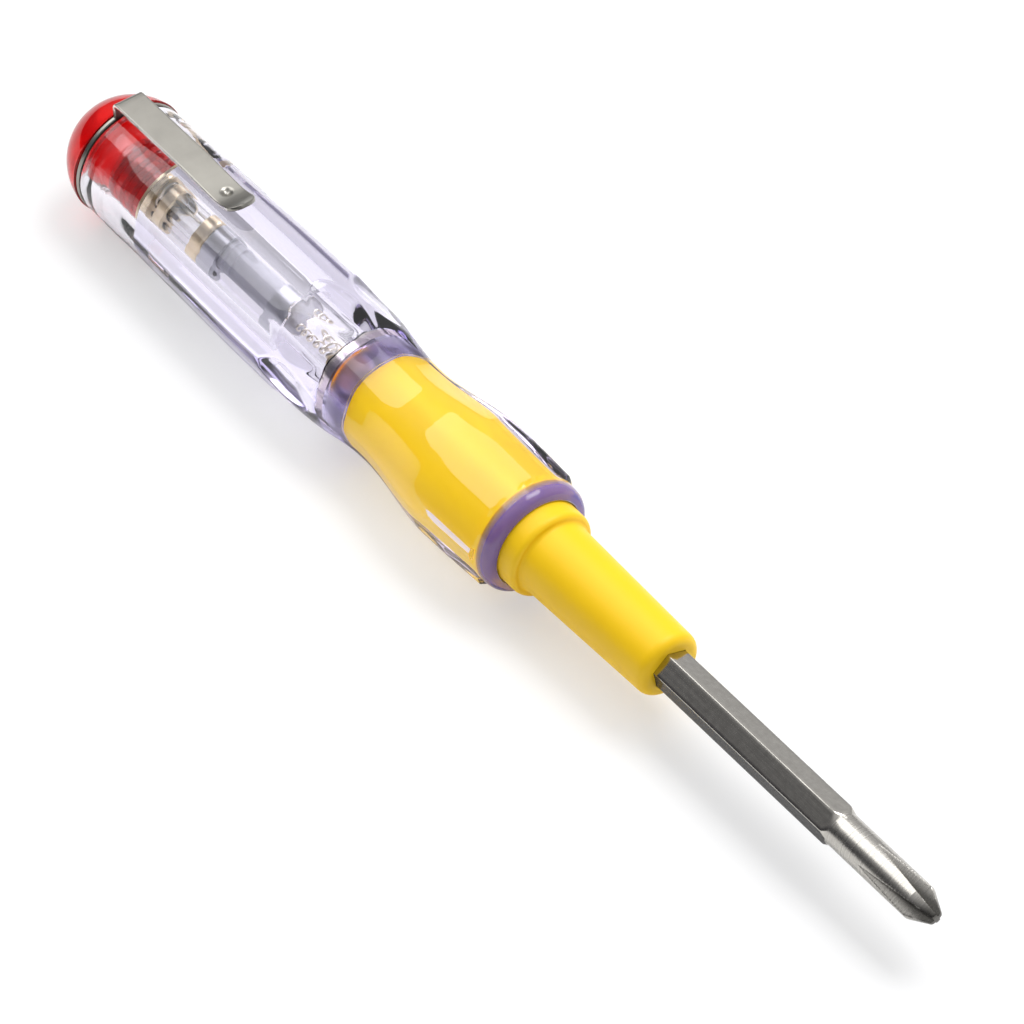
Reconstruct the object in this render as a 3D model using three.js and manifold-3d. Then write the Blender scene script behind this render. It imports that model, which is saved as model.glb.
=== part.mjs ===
// Voltage tester screwdriver: a clear faceted handle holding a neon lamp, a resistor and two springs,
// closed by a red screw cap with a pocket clip, with a yellow sleeve that carries a reversible hex bit.
// Millimetres, +Z up, +X towards the tip. The tool lies on a level surface at z = 0 with its clip on top.
import * as THREE from "three";
import { mergeVertices } from "three/addons/utils/BufferGeometryUtils.js";
import Module from "manifold-3d";

const wasm = await Module();
wasm.setup();

// Clearances
const SEAT = 0.1; // between flat faces that are clamped or pressed together
const GAP = 0.3; // between pieces that meet end to end
const FIT = 0.2; // radial, round a piece that is pressed or pushed into a bore
const RUNNING = 0.3; // radial, round a piece that turns or slides
const HEX_FIT = 0.15; // each side of the hex bar in its bore

// Bit: a reversible hex bar, cross point in front and slotted blade behind
const BIT_FLATS = 5.0;
const BIT_LENGTH = 100;
const BIT_TURN = 11.4; // degrees, the bar's corner from the top
const TURNED_RADIUS = 2.42;
const TURNED_LENGTH = 17.4;
const HEX_CHAMFER = 0.9;
const CROSS_NOSE_RADIUS = 0.85;
const CROSS_CONE_ANGLE = 26.5;
const FLUTE_LENGTH = 11.6;
const FLUTE_CORE_RADIUS = 0.5;
const FLUTE_OPENING = 92;
const BLADE_THICKNESS = 0.9;
const BLADE_LENGTH = 9;

// Contact train in the handle, from the rear
const PLUG_LENGTH = 10.6;
const SHEET = 0.4; // brass sheet of the touch contact and the end cups
const CUP_FLOOR = 2.4;
const SPRING_PROUD = 0.9; // how far the spring stands out of its cup
const SPRING_RADIUS = 2.05; // centre of the wire
const WIRE_RADIUS = 0.25;
const SPRING_TURNS = 6;
const LAMP_LENGTH = 10;
const LAMP_GLASS_RADIUS = 2.5;
const LAMP_GLASS_WALL = 0.5;
const LAMP_CUP_DEPTH = 2;
const ELECTRODE_RADIUS = 0.35;
const ELECTRODE_SPREAD = 0.85;
const ELECTRODE_LENGTH = 5.6;
const RESISTOR_LENGTH = 17.8;
const RESISTOR_RADIUS = 2.5;
const RESISTOR_CUP_DEPTH = 3.3;
const RESISTOR_GROOVES = 2;
const GROOVE_DEPTH = 0.25;
const GROOVE_WIDTH = 0.7;
const GROOVE_PITCH = 1.6;
const FRONT_SPRING_LENGTH = 9;
const FRONT_SPRING_RADIUS = 0.9;
const FRONT_WIRE_RADIUS = 0.2;
const FRONT_SPRING_TURNS = 6;
const PLUNGER_RADIUS = 1.3;
const PLUNGER_FLANGE_RADIUS = 2.3;
const PLUNGER_FLANGE = 1.4;
const PLUNGER_PIN = 14.7;
const RING_WALL = 0.6;
const RING_LENGTH = 1.5;
const RING_TO_SLEEVE = 4.0;

// Yellow sleeve
const SLEEVE_RADIUS = 5.0;
const SLEEVE_GRIP = 32.7; // length inside the handle
const COLLAR_STEP = 1.3;
const COLLAR_SUNK = 3.2;
const COLLAR_PROUD = 3.0;
const COLLAR_FILLET = 0.9;
const NOSE_LENGTH = 23.5;
const NOSE_REAR_RADIUS = 5.2;
const NOSE_FRONT_RADIUS = 4.65;
const NOSE_FILLET = 1.2;

// Handle outside: round rear collar, eight-sided barrel, round waist, eight-sided front bulge
const SIDES = 8;
const COLLAR_RADIUS = 8.55;
const COLLAR_LENGTH = 6.5;
const BARREL_RADIUS = 9.12;
const WAIST_WALL = 2.3;
const BULGE_RADIUS = 9.05;
const RIM_RADIUS = 8.75;
const RIM_FILLET = 1.2;
const REAR_FILLET = 0.4;
const BARREL_TAPER = 32; // length over which the barrel widens
const BARREL_LENGTH = 46;
const WAIST_FROM_FRONT = 28.5;
const WAIST_LENGTH = 1;
const BULGE_FROM_FRONT = 14;
const BULGE_LENGTH = 3;
const BARREL_FLAT_DEPTH = 0.3;
const BARREL_FLAT_TURN = 22.5; // degrees, a rear flat from the top
const REAR_FLAT_RUNOUT = 5;
const FRONT_FLAT_DEPTH = 0.68;
const FRONT_FLAT_LENGTH = 16.6;
const FRONT_FLAT_RUNOUT = 9;
const FRONT_FLAT_TURN = 15; // degrees, a front flat from the top
const SCOOP_START = 41.7; // flats that end the barrel's ridges
const SCOOP_DEPTH = 0.8;
const SCOOP_RUNOUT = 5;

// Cap and clip
const DOME_RADIUS = 8.8;
const PLUG_RADIUS = 5.1;
const THREAD_DEPTH = 0.5;
const THREAD_PITCH = 2;
const THREAD_TURNS = 3;
const CLIP_SHEET = 0.6;
const CLIP_RING_RADIUS = 8.6;
const CLIP_WIDTH = 4.6;
const CLIP_HEIGHT = 10.9; // outer face of the strip above the axis
const CLIP_REACH = 26.8;
const CLIP_BEND = 1.0;
const CLIP_END_RADIUS = 1.7;
const CLIP_DIP = 0.35;
const CLIP_FLARE = 1.2;
const CLIP_FLARE_LENGTH = 4.2;
const DIMPLE_RADIUS = 0.8;
const DIMPLE_FROM_END = 4.4;
const ARM_WIDTH = 2.4;

// Facets of round pieces
const ROUND = 48;
const SMALL_ROUND = 24;

// Sizes that follow from the above
const radians = THREE.MathUtils.degToRad;
const threadRadius = PLUG_RADIUS + THREAD_DEPTH;
const capBore = threadRadius + RUNNING;
const armInner = capBore + SEAT;
const armOuter = armInner + SHEET;
const cupOuter = SPRING_RADIUS + WIRE_RADIUS + FIT + SHEET;
const plugHollow = cupOuter + RUNNING;
const contactFlange = PLUG_LENGTH + SEAT;
const contactFront = contactFlange + SHEET;
const keywayEnd = contactFront + RUNNING;
const lampStart = contactFront + SPRING_PROUD;
const lampEnd = lampStart + LAMP_LENGTH;
const endCupRadius = Math.max(LAMP_GLASS_RADIUS, RESISTOR_RADIUS) + SEAT + SHEET;
const chamberRadius = endCupRadius + RUNNING;
const resistorStart = lampEnd + SEAT;
const resistorEnd = resistorStart + RESISTOR_LENGTH;
const shoulder = resistorEnd + SEAT;
const frontSpringStart = resistorEnd + SEAT;
const plungerRear = frontSpringStart + FRONT_SPRING_LENGTH;
const plungerFlangeEnd = plungerRear + PLUNGER_FLANGE;
const plungerNose = plungerFlangeEnd + PLUNGER_PIN;
const plungerBore = PLUNGER_FLANGE_RADIUS + RUNNING;
const socketFloor = plungerFlangeEnd + GAP;
const socketRadius = SLEEVE_RADIUS + FIT;
const ringRear = socketFloor + SEAT;
const ringFront = ringRear + RING_LENGTH;
const sleeveRear = ringFront + RING_TO_SLEEVE;
const handleLength = sleeveRear + SLEEVE_GRIP;
const collarRadius = SLEEVE_RADIUS + COLLAR_STEP;
const collarRear = handleLength - COLLAR_SUNK;
const collarFront = handleLength + COLLAR_PROUD;
const sleeveFront = collarFront + NOSE_LENGTH;
const bitRear = plungerNose + GAP;
const tip = bitRear + BIT_LENGTH;
const clipRear = -SEAT - CLIP_SHEET;
const domeBase = clipRear - SEAT;
const waistRadius = socketRadius + WAIST_WALL;
const middle = (tip - DOME_RADIUS) / 2;

// A closed geometry as a solid that can be cut and joined, and back again.
function solid(geometry) {
  const bare = new THREE.BufferGeometry().setAttribute("position", geometry.getAttribute("position"));
  bare.setIndex(geometry.index);
  const merged = mergeVertices(bare, 1e-4);
  const vertProperties = new Float32Array(merged.attributes.position.array);
  const triVerts = new Uint32Array(merged.index.array);
  return new wasm.Manifold(new wasm.Mesh({ numProp: 3, vertProperties, triVerts }));
}

function geometryOf(body) {
  const mesh = body.getMesh();
  const geometry = new THREE.BufferGeometry();
  geometry.setAttribute("position", new THREE.BufferAttribute(mesh.vertProperties, 3));
  geometry.setIndex(new THREE.BufferAttribute(mesh.triVerts, 1));
  geometry.computeVertexNormals();
  return geometry;
}

// A profile of [station, radius] points turned about the X axis.
function turned(profile, segments = ROUND) {
  const points = profile.map(([station, radius]) => new THREE.Vector2(radius, station));
  return new THREE.LatheGeometry(points, segments).rotateZ(-Math.PI / 2);
}

// A plain turned bar from one station to another.
function bar(from, to, radius, segments = ROUND) {
  return turned([[from, 0], [from, radius], [to, radius], [to, 0]], segments);
}

// A plain turned tube from one station to another.
function tube(from, to, inner, outer, segments = ROUND) {
  return turned([[from, inner], [from, outer], [to, outer], [to, inner], [from, inner]], segments);
}

// A thin cup: a floor at one station and a wall towards another, along either direction.
function cup(floor, mouth, outer, sheet, segments = ROUND) {
  const inside = floor + Math.sign(mouth - floor) * sheet;
  const profile = [[floor, 0], [floor, outer], [mouth, outer]];
  profile.push([mouth, outer - sheet], [inside, outer - sheet], [inside, 0]);
  return turned(mouth > floor ? profile : profile.reverse(), segments);
}

// Points of an arc in a turned profile, about [station, radius], angles in degrees from the axis.
function arc(station, radius, size, from, to, steps) {
  const points = [];
  for (let i = 0; i <= steps; i++) {
    const angle = radians(from + ((to - from) * i) / steps);
    points.push([station + size * Math.cos(angle), radius + size * Math.sin(angle)]);
  }
  return points;
}

// A box between two corners.
function box(x0, x1, y0, y1, z0, z1) {
  const made = new THREE.BoxGeometry(x1 - x0, y1 - y0, z1 - z0);
  return made.translate((x0 + x1) / 2, (y0 + y1) / 2, (z0 + z1) / 2);
}

// A wedge with a three-cornered section at each end, corners given the same way round.
function wedge(rear, front) {
  const corners = [...rear, ...front].flat();
  const geometry = new THREE.BufferGeometry();
  geometry.setAttribute("position", new THREE.Float32BufferAttribute(corners, 3));
  geometry.setIndex([0, 2, 1, 3, 4, 5, 0, 1, 4, 0, 4, 3, 1, 2, 5, 1, 5, 4, 2, 0, 3, 2, 3, 5]);
  return geometry;
}

// Eases from 0 to 1 between two values, level at both ends.
function ease(value, from, to) {
  return THREE.MathUtils.smoothstep(value, from, to);
}

// Runs from 0 to 1 between two values, quickly at first.
function runout(value, from, to) {
  const share = THREE.MathUtils.clamp((value - from) / (to - from), 0, 1);
  return 1 - (1 - share) ** 2;
}

// A wire wound about the X axis, as one closed tube whose ends run straight along the axis.
function spring(from, to, radius, wire, turns) {
  const curlSteps = 8;
  const wireSides = 5;
  const straight = 2 * wire;
  const path = [];
  const radial = [];
  const steps = turns * curlSteps;
  for (let i = 0; i <= steps; i++) {
    const angle = (2 * Math.PI * i) / curlSteps;
    const outward = new THREE.Vector3(0, -Math.sin(angle), Math.cos(angle));
    const station = from + straight + ((to - from - 2 * straight) * i) / steps;
    path.push(new THREE.Vector3(station, 0, 0).addScaledVector(outward, radius));
    radial.push(outward);
  }
  path.unshift(path[0].clone().setX(from));
  path.push(path[steps + 1].clone().setX(to));
  radial.unshift(radial[0]);
  radial.push(radial[steps + 1]);
  const positions = [];
  path.forEach((point, i) => {
    const ahead = path[Math.min(i + 1, path.length - 1)];
    const behind = path[Math.max(i - 1, 0)];
    const along = new THREE.Vector3().subVectors(ahead, behind).normalize();
    const side = new THREE.Vector3().crossVectors(along, radial[i]).normalize();
    const up = new THREE.Vector3().crossVectors(side, along);
    for (let k = 0; k < wireSides; k++) {
      const angle = (2 * Math.PI * k) / wireSides;
      const corner = point.clone().addScaledVector(up, wire * Math.cos(angle));
      positions.push(...corner.addScaledVector(side, wire * Math.sin(angle)).toArray());
    }
  });
  const faces = [];
  for (let i = 0; i + 1 < path.length; i++) {
    for (let k = 0; k < wireSides; k++) {
      const a = i * wireSides + k;
      const b = i * wireSides + ((k + 1) % wireSides);
      faces.push(a, a + wireSides, b, b, a + wireSides, b + wireSides);
    }
  }
  const last = (path.length - 1) * wireSides;
  for (let k = 1; k + 1 < wireSides; k++) {
    faces.push(0, k, k + 1, last, last + k + 1, last + k);
  }
  const flipped = [];
  for (let i = 0; i < faces.length; i += 3) {
    flipped.push(faces[i], faces[i + 2], faces[i + 1]);
  }
  let least = Infinity;
  for (let i = 0; i < path.length; i++) {
    for (let j = i + curlSteps - 2; j < path.length; j++) {
      least = Math.min(least, path[i].distanceTo(path[j]) - 2 * wire);
    }
  }
  console.log("least gap between curls: " + least.toFixed(2) + " mm");
  const geometry = new THREE.BufferGeometry();
  geometry.setAttribute("position", new THREE.Float32BufferAttribute(positions, 3));
  geometry.setIndex(flipped);
  return geometry;
}

// Radius of the round form that the handle's flats are cut from.
function roundRadius(station) {
  const fromFront = handleLength - station;
  const waistStart = WAIST_FROM_FRONT + WAIST_LENGTH / 2;
  const waistEnd = WAIST_FROM_FRONT - WAIST_LENGTH / 2;
  const bulgeEnd = BULGE_FROM_FRONT - BULGE_LENGTH;
  const widening = Math.min(1, station / BARREL_TAPER);
  let radius = THREE.MathUtils.lerp(COLLAR_RADIUS, BARREL_RADIUS, widening);
  radius += (waistRadius - BARREL_RADIUS) * ease(station, BARREL_LENGTH, handleLength - waistStart);
  radius += (BULGE_RADIUS - waistRadius) * ease(-fromFront, -waistEnd, -BULGE_FROM_FRONT);
  radius += (RIM_RADIUS - BULGE_RADIUS) * ease(-fromFront, -bulgeEnd, 0);
  return radius;
}

// Angle from the middle of the nearest flat.
function fromFlat(angle, turn) {
  const pitch = (2 * Math.PI) / SIDES;
  return angle - turn - pitch * Math.round((angle - turn) / pitch);
}

// Radius of the handle's outside at a station and an angle from the top.
function handleRadius(station, angle) {
  const round = roundRadius(station);
  const rear = fromFlat(angle, radians(BARREL_FLAT_TURN));
  const ridge = fromFlat(angle, 0);
  const front = fromFlat(angle, radians(FRONT_FLAT_TURN));
  const frontFlatStart = handleLength - FRONT_FLAT_LENGTH;
  const fading = 1 - ease(station, BARREL_LENGTH, handleLength - WAIST_FROM_FRONT);
  const rearDepth = BARREL_FLAT_DEPTH * fading * runout(station, COLLAR_LENGTH, COLLAR_LENGTH + REAR_FLAT_RUNOUT);
  const frontDepth = FRONT_FLAT_DEPTH * runout(station, frontFlatStart, frontFlatStart + FRONT_FLAT_RUNOUT);
  const scoopDepth = SCOOP_DEPTH * runout(station, SCOOP_START, SCOOP_START + SCOOP_RUNOUT);
  const scoop = (BARREL_RADIUS - scoopDepth) / Math.cos(ridge);
  let radius = Math.min(round, (round - rearDepth) / Math.cos(rear), (round - frontDepth) / Math.cos(front));
  const scooped = station > SCOOP_START && station < handleLength - WAIST_FROM_FRONT;
  if (scooped) radius = Math.min(radius, scoop);
  const rimDepth = Math.max(0, station - (handleLength - RIM_FILLET));
  const rearDepthLeft = Math.max(0, REAR_FILLET - station);
  radius -= RIM_FILLET - Math.sqrt(Math.max(0, RIM_FILLET ** 2 - rimDepth ** 2));
  return radius - (REAR_FILLET - Math.sqrt(REAR_FILLET ** 2 - rearDepthLeft ** 2));
}

// Stations from one to another, the first left out.
function stations(from, to, count) {
  return Array.from({ length: count }, (_, i) => from + ((to - from) * (i + 1)) / count);
}

// The handle's outside as one closed surface of rings.
function handleOutside() {
  const frontFlatStart = handleLength - FRONT_FLAT_LENGTH;
  const rings = [0];
  rings.push(...stations(0, REAR_FILLET, 2));
  rings.push(...stations(REAR_FILLET, COLLAR_LENGTH, 2));
  rings.push(...stations(COLLAR_LENGTH, COLLAR_LENGTH + REAR_FLAT_RUNOUT, 5));
  rings.push(...stations(COLLAR_LENGTH + REAR_FLAT_RUNOUT, BARREL_TAPER, 2));
  rings.push(...stations(BARREL_TAPER, SCOOP_START, 1));
  rings.push(...stations(SCOOP_START, SCOOP_START + SCOOP_RUNOUT, 5));
  rings.push(...stations(SCOOP_START + SCOOP_RUNOUT, handleLength - WAIST_FROM_FRONT, 7));
  rings.push(...stations(handleLength - WAIST_FROM_FRONT, frontFlatStart, 5));
  rings.push(...stations(frontFlatStart, handleLength - RIM_FILLET, 8));
  rings.push(...stations(handleLength - RIM_FILLET, handleLength, 4));
  const positions = [];
  const faces = [];
  for (const station of rings) {
    for (let j = 0; j < ROUND; j++) {
      const angle = (2 * Math.PI * j) / ROUND;
      const radius = handleRadius(station, angle);
      positions.push(station, -radius * Math.sin(angle), radius * Math.cos(angle));
    }
  }
  for (let i = 0; i + 1 < rings.length; i++) {
    for (let j = 0; j < ROUND; j++) {
      const a = i * ROUND + j;
      const d = i * ROUND + ((j + 1) % ROUND);
      faces.push(a, d, a + ROUND, a + ROUND, d, d + ROUND);
    }
  }
  const rearCentre = rings.length * ROUND;
  const last = (rings.length - 1) * ROUND;
  positions.push(0, 0, 0, handleLength, 0, 0);
  for (let j = 0; j < ROUND; j++) {
    const next = (j + 1) % ROUND;
    faces.push(rearCentre, next, j, rearCentre + 1, last + j, last + next);
  }
  const geometry = new THREE.BufferGeometry();
  geometry.setAttribute("position", new THREE.Float32BufferAttribute(positions, 3));
  geometry.setIndex(faces);
  return geometry;
}

// The handle's outside sets how high the axis lies above the surface that the tool rests on.
const outside = handleOutside();
outside.computeBoundingBox();
const restHeight = Math.max(-outside.boundingBox.min.z, DOME_RADIUS);

// Handle: the outside less its stepped bore, the counterbore for the sleeve's collar and the
// keyway and notch that hold the touch contact.
function handleShell() {
  const past = 1;
  const bore = turned([
    [-past, 0],
    [-past, capBore],
    [keywayEnd, capBore],
    [keywayEnd, chamberRadius],
    [shoulder, chamberRadius],
    [shoulder, plungerBore],
    [socketFloor, plungerBore],
    [socketFloor, socketRadius],
    [collarRear - SEAT, socketRadius],
    [collarRear - SEAT, collarRadius + RUNNING],
    [handleLength + past, collarRadius + RUNNING],
    [handleLength + past, 0],
  ]);
  const half = ARM_WIDTH / 2 + RUNNING;
  const keyway = box(-past, keywayEnd, 0, armOuter + RUNNING, -half, half);
  const notch = box(-past, SHEET + RUNNING, 0, CLIP_RING_RADIUS + past, -half, half);
  const cuts = solid(bore).add(solid(keyway)).add(solid(notch));
  return geometryOf(solid(outside).subtract(cuts));
}

// Red cap: a dome over a hollow plug with a coarse raised thread.
function endCap() {
  const baseRadius = Math.sqrt(DOME_RADIUS ** 2 - domeBase ** 2);
  const baseAngle = THREE.MathUtils.radToDeg(Math.atan2(baseRadius, domeBase));
  const dome = arc(0, 0, DOME_RADIUS, 180, baseAngle, 11);
  dome[0][1] = 0;
  const plugFloor = CUP_FLOOR - GAP;
  const body = turned([
    ...dome,
    [domeBase, PLUG_RADIUS],
    [PLUG_LENGTH, PLUG_RADIUS],
    [PLUG_LENGTH, plugHollow],
    [plugFloor, plugHollow],
    [plugFloor, 0],
  ]);
  return geometryOf(solid(body).add(solid(thread())));
}

// The plug's thread: a ridge of three-cornered section along a helix, sunk a little into the plug.
function thread() {
  const stepsPerTurn = 16;
  const halfWidth = 0.55;
  const sunk = 0.3;
  const steps = THREAD_TURNS * stepsPerTurn;
  const from = PLUG_LENGTH - THREAD_TURNS * THREAD_PITCH - 2 * halfWidth;
  const positions = [];
  const faces = [];
  for (let i = 0; i <= steps; i++) {
    const angle = (2 * Math.PI * i) / stepsPerTurn;
    const station = from + halfWidth + (THREAD_PITCH * i) / stepsPerTurn;
    const section = [[-halfWidth, -sunk], [0, THREAD_DEPTH], [halfWidth, -sunk]];
    for (const [along, out] of section) {
      const radius = PLUG_RADIUS + out;
      positions.push(station + along, -radius * Math.sin(angle), radius * Math.cos(angle));
    }
  }
  for (let i = 0; i < steps; i++) {
    for (let k = 0; k < 3; k++) {
      const a = 3 * i + k;
      const b = 3 * i + ((k + 1) % 3);
      faces.push(a, a + 3, b, b, a + 3, b + 3);
    }
  }
  faces.push(0, 1, 2, 3 * steps, 3 * steps + 2, 3 * steps + 1);
  const geometry = new THREE.BufferGeometry();
  geometry.setAttribute("position", new THREE.Float32BufferAttribute(positions, 3));
  geometry.setIndex(faces);
  return geometry;
}

// Height of the clip's outer face along the strip: level, then a dip and a flared end.
function clipHeight(station) {
  const flareStart = CLIP_REACH - CLIP_FLARE_LENGTH;
  const dip = CLIP_DIP * ease(station, flareStart - 2 * CLIP_FLARE_LENGTH, flareStart);
  const flare = Math.max(0, (station - flareStart) / CLIP_FLARE_LENGTH);
  return CLIP_HEIGHT - dip + CLIP_FLARE * flare ** 2;
}

// Pocket clip: a ring under the dome, a foot bent up from it and a strip along the handle's top.
function pocketClip() {
  const bendSteps = 5;
  const stripSteps = 14;
  const strip = stations(clipRear + CLIP_BEND, CLIP_REACH, stripSteps);
  const bend = arc(clipRear + CLIP_BEND, CLIP_HEIGHT - CLIP_BEND, CLIP_BEND, 180, 90, bendSteps);
  const innerBend = arc(
    clipRear + CLIP_BEND,
    CLIP_HEIGHT - CLIP_BEND,
    CLIP_BEND - CLIP_SHEET,
    90,
    180,
    bendSteps,
  );
  const footStart = CLIP_RING_RADIUS - CLIP_SHEET;
  const outline = [[clipRear, footStart], ...bend, ...strip.map((x) => [x, clipHeight(x)])];
  outline.push(...strip.reverse().map((x) => [x, clipHeight(x) - CLIP_SHEET]), ...innerBend);
  outline.push([clipRear + CLIP_SHEET, footStart]);
  const side = new THREE.Shape(outline.map(([x, z]) => new THREE.Vector2(x, z)));
  const upright = new THREE.Matrix4().makeBasis(
    new THREE.Vector3(1, 0, 0),
    new THREE.Vector3(0, 0, 1),
    new THREE.Vector3(0, -1, 0),
  );
  const band = new THREE.ExtrudeGeometry(side, { depth: CLIP_WIDTH, bevelEnabled: false });
  band.applyMatrix4(upright).translate(0, CLIP_WIDTH / 2, 0);
  const half = CLIP_WIDTH / 2;
  const plan = new THREE.Shape();
  plan.moveTo(clipRear - 1, -half);
  plan.lineTo(CLIP_REACH - CLIP_END_RADIUS, -half);
  plan.absarc(CLIP_REACH - CLIP_END_RADIUS, CLIP_END_RADIUS - half, CLIP_END_RADIUS, -Math.PI / 2, 0);
  plan.lineTo(CLIP_REACH, half - CLIP_END_RADIUS);
  plan.absarc(CLIP_REACH - CLIP_END_RADIUS, half - CLIP_END_RADIUS, CLIP_END_RADIUS, 0, Math.PI / 2);
  plan.lineTo(clipRear - 1, half);
  const rounding = new THREE.ExtrudeGeometry(plan, {
    depth: 2 * CLIP_HEIGHT,
    bevelEnabled: false,
    curveSegments: 6,
  });
  const ring = tube(clipRear, -SEAT, threadRadius + FIT, CLIP_RING_RADIUS);
  const dimpleStation = CLIP_REACH - DIMPLE_FROM_END;
  const dimpleTop = clipHeight(dimpleStation);
  const pit = new THREE.SphereGeometry(DIMPLE_RADIUS, 16, 10);
  const bump = pit.clone().translate(dimpleStation, 0, dimpleTop - CLIP_SHEET + DIMPLE_RADIUS / 2);
  pit.translate(dimpleStation, 0, dimpleTop + DIMPLE_RADIUS / 2);
  const sheet = solid(band).intersect(solid(rounding)).add(solid(bump)).subtract(solid(pit));
  return geometryOf(sheet.add(solid(ring)));
}

// Touch contact: a brass cup for the spring, a flange in front of the plug, and an arm that runs
// back in the handle's keyway to a foot under the clip's ring.
function touchContact() {
  const cupBody = turned([
    [CUP_FLOOR, 0],
    [CUP_FLOOR, cupOuter],
    [contactFlange, cupOuter],
    [contactFlange, armInner - RUNNING],
    [contactFront, armInner - RUNNING],
    [contactFront, cupOuter - SHEET],
    [CUP_FLOOR + SHEET, cupOuter - SHEET],
    [CUP_FLOOR + SHEET, 0],
  ]);
  const half = ARM_WIDTH / 2;
  const bridge = box(contactFlange, contactFront, cupOuter, armOuter, -half, half);
  const arm = box(SEAT, contactFront, armInner, armOuter, -half, half);
  const foot = box(SEAT, SEAT + SHEET, armInner, CLIP_RING_RADIUS - CLIP_SHEET, -half, half);
  return geometryOf(solid(cupBody).add(solid(bridge)).add(solid(arm)).add(solid(foot)));
}

// Resistor body: a bar with ring grooves ahead of its rear cup.
function resistorBody() {
  const profile = [[resistorStart + SHEET + SEAT, 0], [resistorStart + SHEET + SEAT, RESISTOR_RADIUS]];
  for (let i = 0; i < RESISTOR_GROOVES; i++) {
    const start = resistorStart + RESISTOR_CUP_DEPTH + GROOVE_WIDTH + i * GROOVE_PITCH;
    profile.push([start, RESISTOR_RADIUS], [start, RESISTOR_RADIUS - GROOVE_DEPTH]);
    profile.push([start + GROOVE_WIDTH, RESISTOR_RADIUS - GROOVE_DEPTH]);
    profile.push([start + GROOVE_WIDTH, RESISTOR_RADIUS]);
  }
  profile.push([resistorEnd - SHEET - SEAT, RESISTOR_RADIUS], [resistorEnd - SHEET - SEAT, 0]);
  return turned(profile, SMALL_ROUND);
}

// A lamp electrode: a rod with a round end, beside the axis.
function electrode(root, end, offset) {
  const way = Math.sign(end - root);
  const nose = arc(end - way * ELECTRODE_RADIUS, 0, ELECTRODE_RADIUS, 90, way > 0 ? 0 : 180, 4);
  nose[4][1] = 0;
  const profile = [[root, 0], [root, ELECTRODE_RADIUS], ...nose];
  return turned(way > 0 ? profile : profile.reverse(), 12).translate(0, offset, 0);
}

// Contact plunger: a flanged pin with a round nose against the bit.
function contactPlunger() {
  const noseRadius = PLUNGER_RADIUS / 2;
  const nose = arc(plungerNose - noseRadius, PLUNGER_RADIUS - noseRadius, noseRadius, 90, 0, 4);
  return turned(
    [
      [plungerRear, 0],
      [plungerRear, PLUNGER_FLANGE_RADIUS],
      [plungerFlangeEnd, PLUNGER_FLANGE_RADIUS],
      [plungerFlangeEnd, PLUNGER_RADIUS],
      ...nose,
      [plungerNose, 0],
    ],
    SMALL_ROUND,
  );
}

// A hex prism along X, given across its flats.
function hexBar(from, to, acrossFlats) {
  const corner = acrossFlats / 2 / Math.cos(Math.PI / 6);
  return bar(from, to, corner, 6).rotateX(radians(BIT_TURN));
}

// Yellow sleeve: a plug in the handle, a collar, and a tapered nose with a hex bore right through.
function bitSleeve() {
  const collarEdge = arc(collarFront - COLLAR_FILLET, collarRadius - COLLAR_FILLET, COLLAR_FILLET, 90, 0, 5);
  const noseEdge = arc(sleeveFront - NOSE_FILLET, NOSE_FRONT_RADIUS - NOSE_FILLET, NOSE_FILLET, 90, 0, 6);
  const body = turned([
    [sleeveRear, 0],
    [sleeveRear, SLEEVE_RADIUS],
    [collarRear, SLEEVE_RADIUS],
    [collarRear, collarRadius],
    ...collarEdge,
    [collarFront, NOSE_REAR_RADIUS],
    ...noseEdge,
    [sleeveFront, 0],
  ]);
  const bore = hexBar(sleeveRear - 1, sleeveFront + 1, BIT_FLATS + 2 * HEX_FIT);
  return geometryOf(solid(body).subtract(solid(bore)));
}

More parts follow.
